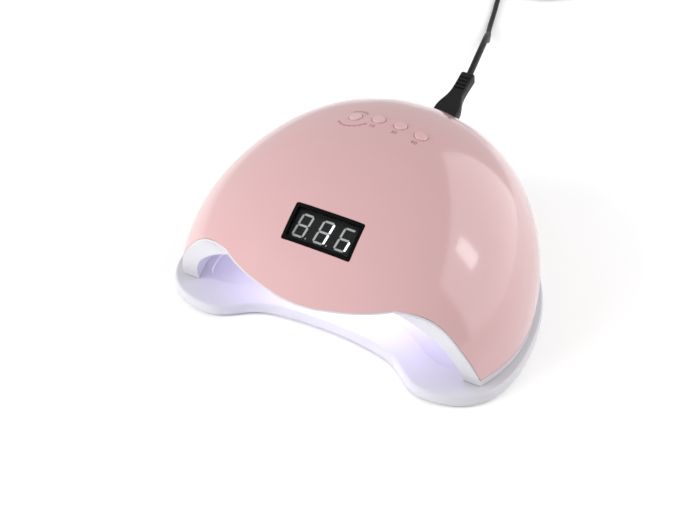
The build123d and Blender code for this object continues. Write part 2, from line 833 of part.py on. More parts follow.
# ---------------------------------------------------------------- export
pieces = {
    "tray": tray,
    "tray_feet": tray_feet,
    "tray_magnets": tray_magnets,
    "inner_housing": inner_housing,
    "housing_magnets": housing_magnets,
    "housing_screws": housing_screws,
    "top_cover": top_cover,
    "display_lens": display_lens,
    "display_bezel": display_bezel,
    "display_module": display_module,
    "display_board": display_board,
    "button_board": button_board,
    "button_board_screws": button_board_screws,
    "switch_bodies": switch_bodies,
    "led_boards": led_boards,
    "led_wires": led_wires,
    "led_beads": led_beads,
    "led_lenses": led_lenses,
    "hand_sensor": hand_sensor,
    "driver_board": driver_board,
    "driver_board_screws": driver_board_screws,
    "transformer": transformer,
    "capacitors": capacitors,
    "heat_sink": heat_sink,
    "buzzer": buzzer,
    "inlet_socket": inlet_socket,
    "inlet_pins": inlet_pins,
    "connector": connector,
    "cord": cord,
    "cord_coil": cord_coil,
    "coil_tie": coil_tie,
    "cord_tail": cord_tail,
    "mains_plug": mains_plug,
    "plug_pins": plug_pins,
    "mains_lead": mains_lead,
    "display_harness": display_harness,
    "button_harness": button_harness,
}
pieces.update({f"button_{i + 1}": button for i, button in enumerate(buttons)})
pieces.update({f"switch_plunger_{i + 1}": plunger for i, plunger in enumerate(plungers)})

os.makedirs("parts", exist_ok=True)
for label, piece in pieces.items():
    piece.part.label = label
    export_step(piece.part, f"parts/{label}.step")
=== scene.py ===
import math

import bmesh
import bpy
from mathutils import Matrix, Vector
from mathutils.bvhtree import BVHTree


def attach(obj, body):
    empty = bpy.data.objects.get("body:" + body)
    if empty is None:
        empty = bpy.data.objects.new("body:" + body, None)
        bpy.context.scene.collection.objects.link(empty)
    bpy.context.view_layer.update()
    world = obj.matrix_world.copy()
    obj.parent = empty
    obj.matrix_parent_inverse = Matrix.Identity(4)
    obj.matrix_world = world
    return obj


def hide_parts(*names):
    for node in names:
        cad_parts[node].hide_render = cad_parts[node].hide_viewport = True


bl_info = {
    "name": "UV nail lamp",
    "version": (1, 0, 0),
    "blender": (4, 5, 0),
    "location": "View3D > Sidebar > Nail lamp",
    "description": "Builds a domed UV LED nail lamp, piece by piece, around its packed model",
    "category": "Object",
}

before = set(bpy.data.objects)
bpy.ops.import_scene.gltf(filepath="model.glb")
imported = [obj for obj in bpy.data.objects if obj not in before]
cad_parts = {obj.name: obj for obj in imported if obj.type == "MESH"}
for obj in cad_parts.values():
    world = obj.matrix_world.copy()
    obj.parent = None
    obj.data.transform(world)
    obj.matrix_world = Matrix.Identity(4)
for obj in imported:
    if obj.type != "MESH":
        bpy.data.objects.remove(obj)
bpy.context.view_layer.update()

MM = 0.001
WELD = 0.000012

# Outer dome, in millimetres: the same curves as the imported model's cover.
HALF_WIDTH = 104.3
HEIGHT = 96.4
RIM_HEIGHT = 10.0
WIDEST_Y = -27.7
CROWN_Y = 3.8
BACK_Y = 100.0
PLAN_FRONT_Y = -135.0
SIDE_FRONT_Y = -115.9
PLAN_POWER = 1.918
SIDE_POWER = 1.969
SECTION_POWER = 2.167

# Display window, on a plane that leans back over the visor
WINDOW_CENTRE = Vector((0, -75.5, 79.5))
WINDOW_LEAN = math.radians(54.1)
WINDOW_NORMAL = Vector((0, -math.cos(WINDOW_LEAN), math.sin(WINDOW_LEAN)))
WINDOW_UP = Vector((0, math.sin(WINDOW_LEAN), math.cos(WINDOW_LEAN)))
MODULE_SINK = 2.2
CLEAR_HALF_WIDTH = 18.1
CLEAR_HALF_LENGTH = 8.6
DIGIT_PITCH = 12.3
DIGIT_LEAN = math.radians(7.2)
BAR_HALF_WIDTH = 0.56
BAR_GAP = 0.18
BAR_RISE = 0.12
POINT_OFFSET = 4.9

# Buttons and the marks printed round them
MARK_SIZE = 3.5
MARK_SHIFT = (-0.8, -8.4)
PRINT_LIFT = 0.05
DIAL_ARCS = ((9.6, 214, 334), (6.9, 40, 128))
DIAL_TICKS = 7
BUTTON_SPOTS = [(-20.0, -1.5), (-6.7, 0.5), (6.7, 0.5), (20.0, -1.5)]

# Cord, in millimetres
CORD_DIAMETER = 4.4
CORD_ROUTE = [
    (0.0, 126.09, 79.22),
    (-2.0, 146.0, 85.6),
    (-8.0, 176.0, 84.5),
    (-18.0, 212.0, 71.0),
    (-30.0, 249.0, 50.0),
    (-42.0, 287.0, 28.0),
    (-54.0, 324.0, 10.5),
    (-66.0, 362.0, 2.4),
    (-75.0, 400.0, 2.2),
    (-85.0, 437.0, 2.2),
    (-88.8, 477.0, 3.0),
]
COIL_CENTRE = (-57.7, 487.9)
COIL_START = 199.3
COIL_OUTER = 33.0
COIL_LAYER_TURNS = 3
COIL_END = 2269.3
COIL_STEP = 22.5
COIL_LOW = 3.0
COIL_HIGH = 7.4
CLIMB = 60.0
TAIL_LENGTH = 30.0
PLUG_Z = 6.85


def settings():
    """The sizes and colours that the panel shows."""
    return bpy.context.scene.nail_lamp


def falloff(y, peak, back, front, power):
    """Share of its greatest size that the dome still has at y."""
    reach = (y - peak) / (back - peak) if y > peak else (peak - y) / (peak - front)
    return max(1 - reach**power, 1e-6) ** (1 / power)


def dome_size(y):
    """Half-width and height of the dome's cross-section at y, in millimetres."""
    width = falloff(y, WIDEST_Y, BACK_Y, PLAN_FRONT_Y, PLAN_POWER)
    height = falloff(y, CROWN_Y, BACK_Y, SIDE_FRONT_Y, SIDE_POWER)
    return HALF_WIDTH * width, HEIGHT * height


def dome_level(point):
    """How far outside the dome a point in millimetres is, as a share of its size there."""
    half_width, height = dome_size(point.y)
    across = (abs(point.x) / half_width) ** SECTION_POWER
    up = (max(point.z - RIM_HEIGHT, 0) / height) ** SECTION_POWER
    return across + up - 1


def dome_gradient(point):
    """Slope of dome_level at a point in millimetres, which points out of the dome."""
    step = 0.05
    slope = []
    for axis in range(3):
        shift = Vector((0, 0, 0))
        shift[axis] = step
        slope.append((dome_level(point + shift) - dome_level(point - shift)) / (2 * step))
    return Vector(slope)


# ---------------------------------------------------------------- shader maths


class Wire:
    """One shader socket that can be used in arithmetic."""

    def __init__(self, paint, socket):
        self.paint = paint
        self.socket = socket

    def math(self, operation, left, right, clamp=False):
        choices = {"operation": operation, "use_clamp": clamp}
        return self.paint.node("ShaderNodeMath", choices, {0: left, 1: right})

    def __add__(self, other):
        return self.math("ADD", self, other)

    def __radd__(self, other):
        return self.math("ADD", other, self)

    def __sub__(self, other):
        return self.math("SUBTRACT", self, other)

    def __rsub__(self, other):
        return self.math("SUBTRACT", other, self)

    def __mul__(self, other):
        return self.math("MULTIPLY", self, other)

    def __rmul__(self, other):
        return self.math("MULTIPLY", other, self)

    def __truediv__(self, other):
        return self.math("DIVIDE", self, other)

    def __gt__(self, other):
        return self.math("GREATER_THAN", self, other)

    def __lt__(self, other):
        return self.math("LESS_THAN", self, other)


class Paint:
    """One procedural material, with a method that adds any node."""

    def __init__(self, name):
        self.material = bpy.data.materials.new(name)
        self.material.use_nodes = True
        self.tree = self.material.node_tree
        self.shader = self.tree.nodes["Principled BSDF"]

    def node(self, kind, choices=None, feeds=None, out=0):
        """Adds a node, makes its choices, then feeds its sockets, and returns one output."""
        made = self.tree.nodes.new(kind)
        for name, value in (choices or {}).items():
            if name == "stops":
                made.color_ramp.elements[0].position, made.color_ramp.elements[0].color = value[0]
                made.color_ramp.elements[1].position, made.color_ramp.elements[1].color = value[-1]
                for position, colour in value[1:-1]:
                    made.color_ramp.elements.new(position).color = colour
            else:
                setattr(made, name, value)
        for name, value in (feeds or {}).items():
            self.feed(made.inputs[name], value)
        return Wire(self, made.outputs[out])

    def feed(self, socket, value):
        """Links a wire to a socket, or sets a plain value on it."""
        if isinstance(value, Wire):
            self.tree.links.new(value.socket, socket)
        else:
            socket.default_value = value

    def place(self):
        """Object coordinates, in metres."""
        return self.node("ShaderNodeTexCoord", out="Object")

    def stretched(self, scale):
        """Object coordinates scaled by a vector."""
        return self.node("ShaderNodeMapping", {}, {"Vector": self.place(), "Scale": scale})

    def axes(self):
        """Object coordinates as three numbers."""
        place = self.place()
        return [self.node("ShaderNodeSeparateXYZ", {}, {0: place}, out=axis) for axis in "XYZ"]

    def noise(self, scale, detail=3.0, where=None, rough=0.5):
        """Cloudy pattern from 0 to 1."""
        feeds = {"Vector": where or self.place(), "Scale": scale, "Detail": detail, "Roughness": rough}
        return self.node("ShaderNodeTexNoise", {}, feeds, out="Fac")

    def spread(self, wire, low, high, start, end):
        """Number moved from the range low to high into the range start to end, and kept there."""
        feeds = {"Value": wire, "From Min": low, "From Max": high, "To Min": start, "To Max": end}
        return self.node("ShaderNodeMapRange", {}, feeds, out="Result")

    def blend(self, share, first, second):
        """Colour between two colours."""
        feeds = {0: share, 6: first, 7: second}
        return self.node("ShaderNodeMix", {"data_type": "RGBA"}, feeds, out=2)

    def set(self, **values):
        """Sets the shader's sockets; an underscore stands for a space."""
        for name, value in values.items():
            self.feed(self.shader.inputs[name.replace("_", " ")], value)
        return self

    def bump(self, height, depth, strength=1.0):
        """Feeds the normal from a height pattern that is depth metres tall."""
        feeds = {"Height": height, "Distance": depth, "Strength": strength}
        return self.set(Normal=self.node("ShaderNodeBump", {}, feeds, out="Normal"))


def shade(colour, factor):
    """The colour, made darker or lighter."""
    return tuple(min(part * factor, 1.0) for part in colour[:3]) + (1.0,)


def moulded(name, colour, roughness, mottle=0.04, peel=0.00001, coat=0.0, grain=1400.0, patch=22.0):
    """Injection-moulded plastic: slight flow clouds, fine orange peel and an uneven polish."""
    paint = Paint(name)
    clouds = paint.noise(patch, 2.0)
    flow = paint.noise(60.0, 2.0, paint.stretched((0.35, 1.0, 2.2)))
    share = paint.spread(clouds * 0.6 + flow * 0.4, 0.3, 0.7, 0.0, 1.0)
    colour_now = paint.blend(share, shade(colour, 1 - mottle), shade(colour, 1 + mottle))
    polish = paint.spread(paint.noise(180.0, 4.0), 0.35, 0.75, roughness * 0.96, roughness * 1.06)
    paint.set(Base_Color=colour_now, Roughness=polish, Coat_Weight=coat, Coat_Roughness=0.06)
    paint.bump(paint.noise(grain, 2.0), peel)
    return paint


def rubber(name, colour, roughness=0.55):
    """Soft black PVC or rubber, with fine pimples and dusty patches."""
    paint = Paint(name)
    dust = paint.spread(paint.noise(90.0, 5.0), 0.45, 0.8, 0.0, 0.5)
    paint.set(Base_Color=paint.blend(dust, shade(colour, 1.0), shade(colour, 1.7)))
    paint.set(Roughness=paint.spread(paint.noise(400.0, 3.0), 0.3, 0.7, roughness - 0.1, roughness + 0.12))
    paint.set(Specular_IOR_Level=0.2)
    paint.bump(paint.noise(2600.0, 2.0), 0.00002)
    return paint


def metal(name, colour, roughness, brushed=(1.0, 1.0, 1.0)):
    """Plated or brushed metal with fine drawn lines."""
    paint = Paint(name)
    lines = paint.noise(900.0, 3.0, paint.stretched(brushed))
    tarnish = paint.spread(paint.noise(120.0, 4.0), 0.4, 0.75, 0.0, 0.6)
    paint.set(Base_Color=paint.blend(tarnish, shade(colour, 1.0), shade(colour, 0.82)), Metallic=1.0)
    paint.set(Roughness=paint.spread(lines, 0.3, 0.7, roughness * 0.8, roughness * 1.3))
    paint.bump(lines, 0.000006)
    return paint


def board(name, mask, copper, line=340.0):
    """Circuit board: lacquer over copper tracks that show through as lighter bands."""
    paint = Paint(name)
    x, y, _ = paint.axes()
    across = paint.node("ShaderNodeMath", {"operation": "SINE"}, {0: x * (line * 2 * math.pi)})
    along = paint.node("ShaderNodeMath", {"operation": "SINE"}, {0: y * (line * 1.3 * math.pi)})
    zones = paint.noise(70.0, 0.0) > 0.52
    tracks = (across > 0.35) * zones + (along > 0.45) * (1 - zones)
    cells = paint.node("ShaderNodeTexVoronoi", {}, {"Vector": paint.place(), "Scale": 240.0}, out="Distance")
    pads = cells < 0.14
    colour = paint.blend(tracks * 0.55, shade(mask, 1.0), shade(mask, 1.6))
    paint.set(Base_Color=paint.blend(pads, colour, shade(copper, 1.0)), Metallic=pads * 0.8)
    paint.set(Roughness=paint.spread(paint.noise(300.0, 2.0), 0.3, 0.7, 0.3, 0.42))
    paint.bump(tracks, 0.00003)
    return paint


def glowing(name, colour, strength, core=0.0):
    """Lit lens: an even glow with a fine random grain of slightly darker spots, and glossy."""
    paint = Paint(name)
    grain = paint.spread(paint.noise(900.0, 2.0), 0.3, 0.7, 0.0, 1.0)
    tint = paint.blend(grain, shade(colour, 0.85), shade(colour, 1.0))
    paint.set(Base_Color=tint, Emission_Color=tint, Emission_Strength=strength, Roughness=0.2)
    paint.set(Coat_Weight=core)
    return paint


# ---------------------------------------------------------------- making pieces


def piece_from(name, bm, materials, body, replaced=()):
    """Turns a bmesh into a finished piece that rides a body and takes its finish from a slot."""
    mesh = bpy.data.meshes.new(name)
    bm.to_mesh(mesh)
    bm.free()
    for paint in materials:
        mesh.materials.append(paint.material)
    made = bpy.data.objects.new(name, mesh)
    bpy.context.scene.collection.objects.link(made)
    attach(made, body)
    if replaced:
        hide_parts(*replaced)
    return made


def joined(node, angle=32.0):
    """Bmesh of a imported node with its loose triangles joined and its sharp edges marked."""
    bm = bmesh.new()
    bm.from_mesh(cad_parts[node].data)
    bmesh.ops.remove_doubles(bm, verts=bm.verts, dist=WELD)
    bmesh.ops.dissolve_degenerate(bm, edges=bm.edges, dist=WELD / 4)
    limit = math.radians(angle)
    for face in bm.faces:
        face.smooth = True
        face.material_index = 0
    for edge in bm.edges:
        edge.smooth = len(edge.link_faces) == 2 and edge.calc_face_angle(math.pi) < limit
    return bm


def refined(node, name, paint, body, angle=32.0):
    """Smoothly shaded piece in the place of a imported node."""
    return piece_from(name, joined(node, angle), [paint], body, [node])


def painted(nodes, paint):
    """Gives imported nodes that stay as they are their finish."""
    for node in nodes:
        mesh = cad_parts[node].data
        mesh.materials.clear()
        mesh.materials.append(paint.material)


def follow_dome(obj, tolerance=0.25):
    """Sets the normals on the dome's skin from its own curves, so that reflections run clean."""
    mesh = obj.data
    normals = [Vector(corner.vector) for corner in mesh.corner_normals]
    slopes = {}
    for polygon in mesh.polygons:
        for loop in polygon.loop_indices:
            index = mesh.loops[loop].vertex_index
            if index not in slopes:
                point = mesh.vertices[index].co / MM
                slope = dome_gradient(point) if point.z > RIM_HEIGHT + 1 and point.y < BACK_Y - 0.4 else None
                near = slope is not None and abs(dome_level(point)) / max(slope.length, 1e-9) < tolerance
                slopes[index] = slope.normalized() if near else None
            if slopes[index] is not None and slopes[index].dot(polygon.normal) > 0.93:
                normals[loop] = slopes[index]
    mesh.normals_split_custom_set(normals)


def lay_on_dome(bm, lift):
    """Drops flat artwork in millimetres onto the finished cover, keeping its own thickness."""
    skin = bmesh.new()
    skin.from_mesh(bpy.data.objects["dome_cover"].data)
    tree = BVHTree.FromBMesh(skin)
    for vert in bm.verts:
        x, y, z = vert.co
        spot = tree.ray_cast(Vector((x, y, 2 * HEIGHT)) * MM, Vector((0, 0, -1)))[0]
        if spot is None:
            raise RuntimeError("the artwork misses the cover")
        vert.co = spot + Vector((0, 0, lift + z)) * MM
    skin.free()


def on_window(x, up, out):
    """Place on the display window's plane, in metres."""
    return (WINDOW_CENTRE + Vector((x, 0, 0)) + WINDOW_UP * up + WINDOW_NORMAL * out) * MM


# ---------------------------------------------------------------- settings


class LampSettings(bpy.types.PropertyGroup):
    """Colours and amounts that a user would change."""

    shell_colour: bpy.props.FloatVectorProperty(
        name="Shell colour", description="Colour of the glossy top cover and its buttons",
        subtype="COLOR", size=3, min=0, max=1, default=(0.515, 0.315, 0.320))
    housing_colour: bpy.props.FloatVectorProperty(
        name="Housing colour", description="Colour of the white inner housing",
        subtype="COLOR", size=3, min=0, max=1, default=(0.52, 0.515, 0.535))
    tray_colour: bpy.props.FloatVectorProperty(
        name="Tray colour", description="Colour of the pale removable tray",
        subtype="COLOR", size=3, min=0, max=1, default=(0.50, 0.49, 0.525))
    glow_colour: bpy.props.FloatVectorProperty(
        name="Glow colour", description="Colour of the light from the LEDs",
        subtype="COLOR", size=3, min=0, max=1, default=(0.50, 0.40, 1.0))
    glow_strength: bpy.props.FloatProperty(
        name="Glow strength", description="How brightly the LEDs shine", min=0, max=200, default=68.0)
    gloss: bpy.props.FloatProperty(
        name="Shell roughness", description="Roughness of the top cover", subtype="FACTOR",
        min=0.02, max=1, default=0.16)


class LampView(bpy.types.PropertyGroup):
    """Where the picture is taken from."""

    stand: bpy.props.FloatVectorProperty(
        name="Camera place", description="Where the camera stands", subtype="TRANSLATION", unit="LENGTH",
        size=3, default=(0.1952, -0.4587, 0.3943))
    turn: bpy.props.FloatProperty(
        name="Turn", description="Angle round the lamp from its front", subtype="ANGLE",
        default=math.radians(25.88))
    rise: bpy.props.FloatProperty(
        name="Rise", description="Angle down to the lamp", subtype="ANGLE", default=math.radians(37.64))
    roll: bpy.props.FloatProperty(
        name="Roll", description="Tilt of the camera", subtype="ANGLE", default=math.radians(3.13))
    lens: bpy.props.FloatProperty(
        name="Lens", description="Focal length on a 36 mm sensor, in millimetres",
        min=10, max=300, default=54.85)


# ---------------------------------------------------------------- operators


class Builder:
    """What every operator here shares."""

    bl_options = {"REGISTER", "UNDO"}


class LAMP_OT_camera(Builder, bpy.types.Operator):
    """Sets the camera at the lamp's front right, looking down"""

    bl_idname = "nail_lamp.camera"
    bl_label = "Camera"

    def execute(self, context):
        view = context.scene.nail_lamp_view
        flat = math.cos(view.rise)
        back = Vector((math.sin(view.turn) * flat, -math.cos(view.turn) * flat, math.sin(view.rise)))
        right = Vector((math.cos(view.turn), math.sin(view.turn), 0))
        up = back.cross(right)
        side = right * math.cos(view.roll) + up * math.sin(view.roll)
        top = up * math.cos(view.roll) - right * math.sin(view.roll)
        camera = bpy.data.objects.new("camera", bpy.data.cameras.new("camera"))
        camera.data.lens = view.lens
        camera.data.clip_start = 0.01
        camera.matrix_world = Matrix.Translation(view.stand) @ Matrix((side, top, back)).transposed().to_4x4()
        context.scene.collection.objects.link(camera)
        context.scene.camera = camera
        return {"FINISHED"}


class LAMP_OT_cord(Builder, bpy.types.Operator):
    """Lays the mains cord from the connector to a tied coil and its plug"""

    bl_idname = "nail_lamp.cord"
    bl_label = "Mains cord"

    def execute(self, context):
        points = [Vector(point) * MM for point in CORD_ROUTE] + self.coil()
        curve = bpy.data.curves.new("mains_cord", "CURVE")
        curve.dimensions = "3D"
        curve.bevel_depth = CORD_DIAMETER / 2 * MM
        curve.bevel_resolution = 4
        curve.resolution_u = 6
        line = curve.splines.new("NURBS")
        line.points.add(len(points) - 1)
        for spot, point in zip(line.points, points):
            spot.co = (*point, 1.0)
        line.order_u = 3
        line.use_endpoint_u = True
        curve.use_fill_caps = True
        curve.materials.append(rubber("cord_sheath", (0.007, 0.007, 0.008), 0.5).material)
        cord = bpy.data.objects.new("mains_cord", curve)
        context.scene.collection.objects.link(cord)
        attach(cord, "cord_set")
        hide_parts("cord", "cord_coil", "cord_tail")
        return {"FINISHED"}

    def coil(self):
        """Points of the coil, wound in on the floor and out again on top, then the tail to the plug."""
        points = []
        inwards = 360.0 * COIL_LAYER_TURNS
        turn = COIL_STEP
        while turn < COIL_END + 1:
            pitch = CORD_DIAMETER / 360
            wound = turn if turn < inwards else 2 * inwards - turn
            radius = COIL_OUTER - pitch * wound
            radius /= math.cos(math.radians(COIL_STEP / 2))
            rise = min(max((turn - inwards + CLIMB / 2) / CLIMB, 0), 1)
            angle = math.radians(COIL_START - turn)
            points.append(Vector((
                COIL_CENTRE[0] + radius * math.cos(angle),
                COIL_CENTRE[1] + radius * math.sin(angle),
                COIL_LOW + (COIL_HIGH - COIL_LOW) * rise,
            )) * MM)
            turn += COIL_STEP
        tail_y = COIL_CENTRE[1] + COIL_OUTER + CORD_DIAMETER * 0.3
        for reach, height in ((8.0, COIL_HIGH), (18.0, PLUG_Z + 0.2), (TAIL_LENGTH, PLUG_Z)):
            points.append(Vector((COIL_CENTRE[0] + reach, tail_y, height)) * MM)
        return points


class LAMP_OT_connector(Builder, bpy.types.Operator):
    """Finishes the connector at the lamp, the mains plug, its pins and the tie"""

    bl_idname = "nail_lamp.connector"
    bl_label = "Connector and plug"

    def execute(self, context):
        black = rubber("connector_rubber", (0.006, 0.006, 0.007), 0.5)
        refined("connector", "lamp_connector", black, "cord_set", 40)
        refined("mains_plug", "plug_body", black, "cord_set", 40)
        pins = metal("pin_plating", (0.78, 0.76, 0.70), 0.2, (1.0, 0.2, 0.2))
        refined("plug_pins", "plug_prongs", pins, "cord_set", 40)
        tie = moulded("tie_strap", (0.03, 0.03, 0.032), 0.45, 0.1, 0.00003)
        refined("coil_tie", "cord_tie", tie, "cord_set", 40)
        return {"FINISHED"}


class LAMP_OT_cover(Builder, bpy.types.Operator):
    """Finishes the glossy top cover and prints its time marks"""

    bl_idname = "nail_lamp.cover"
    bl_label = "Top cover"

    def execute(self, context):
        chosen = settings()
        shell = moulded("shell_gloss", chosen.shell_colour, chosen.gloss, 0.012, 0.000003, 0.35, 700.0, 9.0)
        cover = refined("top_cover", "dome_cover", shell, "housing", 30)
        follow_dome(cover)
        ink = moulded("print_ink", (0.26, 0.13, 0.15), 0.4, 0.12, 0.000004)
        self.numbers(ink)
        self.arcs(ink)
        return {"FINISHED"}

    def numbers(self, ink):
        """Seconds printed in front of the three time buttons."""
        for (x, y), seconds in zip(BUTTON_SPOTS[1:], ("10", "30", "60")):
            text = bpy.data.curves.new("seconds", "FONT")
            text.body = seconds
            text.size = MARK_SIZE
            text.align_x = "CENTER"
            text.extrude = 0.03
            text.resolution_u = 3
            helper = bpy.data.objects.new("seconds", text)
            bm = bmesh.new()
            bm.from_mesh(bpy.data.meshes.new_from_object(helper))
            bpy.data.objects.remove(helper)
            bmesh.ops.remove_doubles(bm, verts=bm.verts, dist=0.001)
            bmesh.ops.translate(bm, verts=bm.verts, vec=(x + MARK_SHIFT[0], y + MARK_SHIFT[1], 0))
            lay_on_dome(bm, PRINT_LIFT)
            piece_from(f"time_mark_{seconds}", bm, [ink], "housing")

    def arcs(self, ink):
        """Two dial arcs with ticks round the power button."""
        x, y = BUTTON_SPOTS[0]
        bm = bmesh.new()
        for radius, start, end in DIAL_ARCS:
            sweep = math.radians(end - start)
            self.band(bm, (x, y), radius, 0.42, start, sweep, 40)
            for i in range(DIAL_TICKS):
                tick = start + (end - start) * (i + 0.5) / DIAL_TICKS
                self.band(bm, (x, y), radius + 0.7, 0.8, tick, math.radians(2.4), 2)
        lay_on_dome(bm, 0.03)
        piece_from("dial_arcs", bm, [ink], "housing")

    def band(self, bm, centre, radius, width, start, sweep, steps):
        """Thin raised arc, spun from one upright rectangle."""
        angle = math.radians(start)
        out = Vector((math.cos(angle), math.sin(angle), 0))
        middle = Vector((*centre, 0))
        corners = [(-width / 2, 0), (width / 2, 0), (width / 2, 0.06), (-width / 2, 0.06)]
        verts = [bm.verts.new(middle + out * (radius + side) + Vector((0, 0, up))) for side, up in corners]
        face = bm.faces.new(verts)
        bmesh.ops.spin(
            bm, geom=[face, *face.edges, *verts], cent=middle, axis=(0, 0, 1), dvec=(0, 0, 0),
            angle=sweep, steps=steps, use_duplicate=False)
        bmesh.ops.recalc_face_normals(bm, faces=bm.faces[:])


class LAMP_OT_housing(Builder, bpy.types.Operator):
    """Finishes the white inner housing and the sensor in its roof"""

    bl_idname = "nail_lamp.housing"
    bl_label = "Inner housing"

    def execute(self, context):
        chosen = settings()
        white = moulded("housing_white", chosen.housing_colour, 0.32, 0.008, 0.000005, 0.1, 900.0)
        refined("inner_housing", "housing_shell", white, "housing", 30)
        sensor = moulded("sensor_window", (0.03, 0.012, 0.035), 0.12, 0.1, 0.000003, 0.8)
        refined("hand_sensor", "sensor_dome", sensor, "housing", 40)
        return {"FINISHED"}


class LAMP_OT_tray(Builder, bpy.types.Operator):
    """Finishes the removable tray and its feet"""

    bl_idname = "nail_lamp.tray"
    bl_label = "Tray"

    def execute(self, context):
        pale = moulded("tray_satin", settings().tray_colour, 0.3, 0.008, 0.000005, 0.15, 800.0)
        refined("tray", "tray_plate", pale, "tray", 40)
        grey = rubber("foot_rubber", (0.24, 0.24, 0.245), 0.7)
        refined("tray_feet", "tray_pads", grey, "tray", 40)
        return {"FINISHED"}


class LAMP_OT_buttons(Builder, bpy.types.Operator):
    """Finishes the four buttons and the switches under them"""

    bl_idname = "nail_lamp.buttons"
    bl_label = "Buttons"

    def execute(self, context):
        colour = shade(settings().shell_colour, 1.1)
        gloss = moulded("button_gloss", colour, 0.22, 0.03, 0.000004, 0.4, 900.0, 60.0)
        plunger = moulded("plunger_black", (0.02, 0.02, 0.022), 0.4)
        for number in range(1, 5):
            name = f"button_{number}"
            refined(name, f"key_{number}", gloss, name, 25)
            painted([f"switch_plunger_{number}"], plunger)
        painted(["switch_bodies"], moulded("switch_black", (0.025, 0.025, 0.028), 0.5))
        return {"FINISHED"}


class LAMP_OT_display(Builder, bpy.types.Operator):
    """Builds the three-digit display under its dark lens"""

    bl_idname = "nail_lamp.display"
    bl_label = "Display"

    def execute(self, context):
        refined("display_lens", "display_window", self.lens(), "housing", 30)
        bezel = moulded("bezel_black", (0.002, 0.002, 0.002), 0.5)
        refined("display_bezel", "display_frame", bezel, "housing", 30)
        face = moulded("module_face", (0.010, 0.012, 0.012), 0.5, 0.25)
        refined("display_module", "display_block", face, "housing", 30)
        dull = moulded("segment_dull", (0.62, 0.64, 0.63), 0.5, 0.08)
        lit = glowing("segment_lit", (0.9, 0.93, 1.0), 2.2)
        off, on = bmesh.new(), bmesh.new()
        for digit, centre in enumerate((-DIGIT_PITCH, 0.0, DIGIT_PITCH)):
            for name, start, end in self.segments():
                if (digit, name) == (2, "right_top"):
                    continue
                bright = (digit, name) in {(1, "right_top"), (1, "right_low"), (2, "right_low")}
                self.bar(on if bright else off, centre, start, end)
            if digit < 2:
                self.bar(off, centre + POINT_OFFSET, (-0.62, -6.2), (0.62, -6.2))
        piece_from("digits_dull", off, [dull], "housing")
        piece_from("digits_lit", on, [lit], "housing")
        return {"FINISHED"}

    def lens(self):
        """Dark acrylic: clear in the middle, with a black printed border."""
        paint = Paint("lens_acrylic")
        x, y, z = paint.axes()
        up = (y - WINDOW_CENTRE.y * MM) * WINDOW_UP.y + (z - WINDOW_CENTRE.z * MM) * WINDOW_UP.z
        wide = paint.node("ShaderNodeMath", {"operation": "ABSOLUTE"}, {0: x})
        tall = paint.node("ShaderNodeMath", {"operation": "ABSOLUTE"}, {0: up})
        past = {0: wide > CLEAR_HALF_WIDTH * MM, 1: tall > CLEAR_HALF_LENGTH * MM}
        border = paint.node("ShaderNodeMath", {"operation": "MAXIMUM"}, past)
        smears = paint.spread(paint.noise(70.0, 4.0), 0.4, 0.8, 0.04, 0.1)
        paint.set(Base_Color=paint.blend(border, (0.003, 0.003, 0.003, 1.0), (0.001, 0.001, 0.001, 1.0)))
        paint.set(Alpha=paint.spread(border, 0.0, 1.0, 0.14, 1.0), Roughness=smears)
        paint.set(Specular_IOR_Level=0.12)
        return paint

    def segments(self):
        """Name and ends of each bar of a digit, in millimetres, before it leans."""
        wide, tall = 2.95, 6.2
        return [
            ("top", (-wide, tall), (wide, tall)),
            ("middle", (-wide, 0), (wide, 0)),
            ("bottom", (-wide, -tall), (wide, -tall)),
            ("left_top", (-wide, 0), (-wide, tall)),
            ("left_low", (-wide, -tall), (-wide, 0)),
            ("right_top", (wide, 0), (wide, tall)),
            ("right_low", (wide, -tall), (wide, 0)),
        ]

    def bar(self, bm, centre, start, end):
        """One six-sided bar, raised from the module's face."""
        lean = math.tan(DIGIT_LEAN)
        start, end = Vector((*start, 0)), Vector((*end, 0))
        along = (end - start).normalized()
        side = Vector((-along.y, along.x, 0))
        start, end = start + along * BAR_GAP, end - along * BAR_GAP
        reach = min(BAR_HALF_WIDTH, (end - start).length / 2)
        first, last, edge = start + along * reach, end - along * reach, side * BAR_HALF_WIDTH
        outline = [start, first - edge, last - edge, end, last + edge, first + edge]
        verts = [bm.verts.new(on_window(centre + p.x + p.y * lean, p.y, 0.03 - MODULE_SINK)) for p in outline]
        face = bm.faces.new(verts)
        raised = bmesh.ops.extrude_face_region(bm, geom=[face])
        tops = [item for item in raised["geom"] if isinstance(item, bmesh.types.BMVert)]
        bmesh.ops.translate(bm, verts=tops, vec=WINDOW_NORMAL * BAR_RISE * MM)
        bmesh.ops.recalc_face_normals(bm, faces=bm.faces[:])


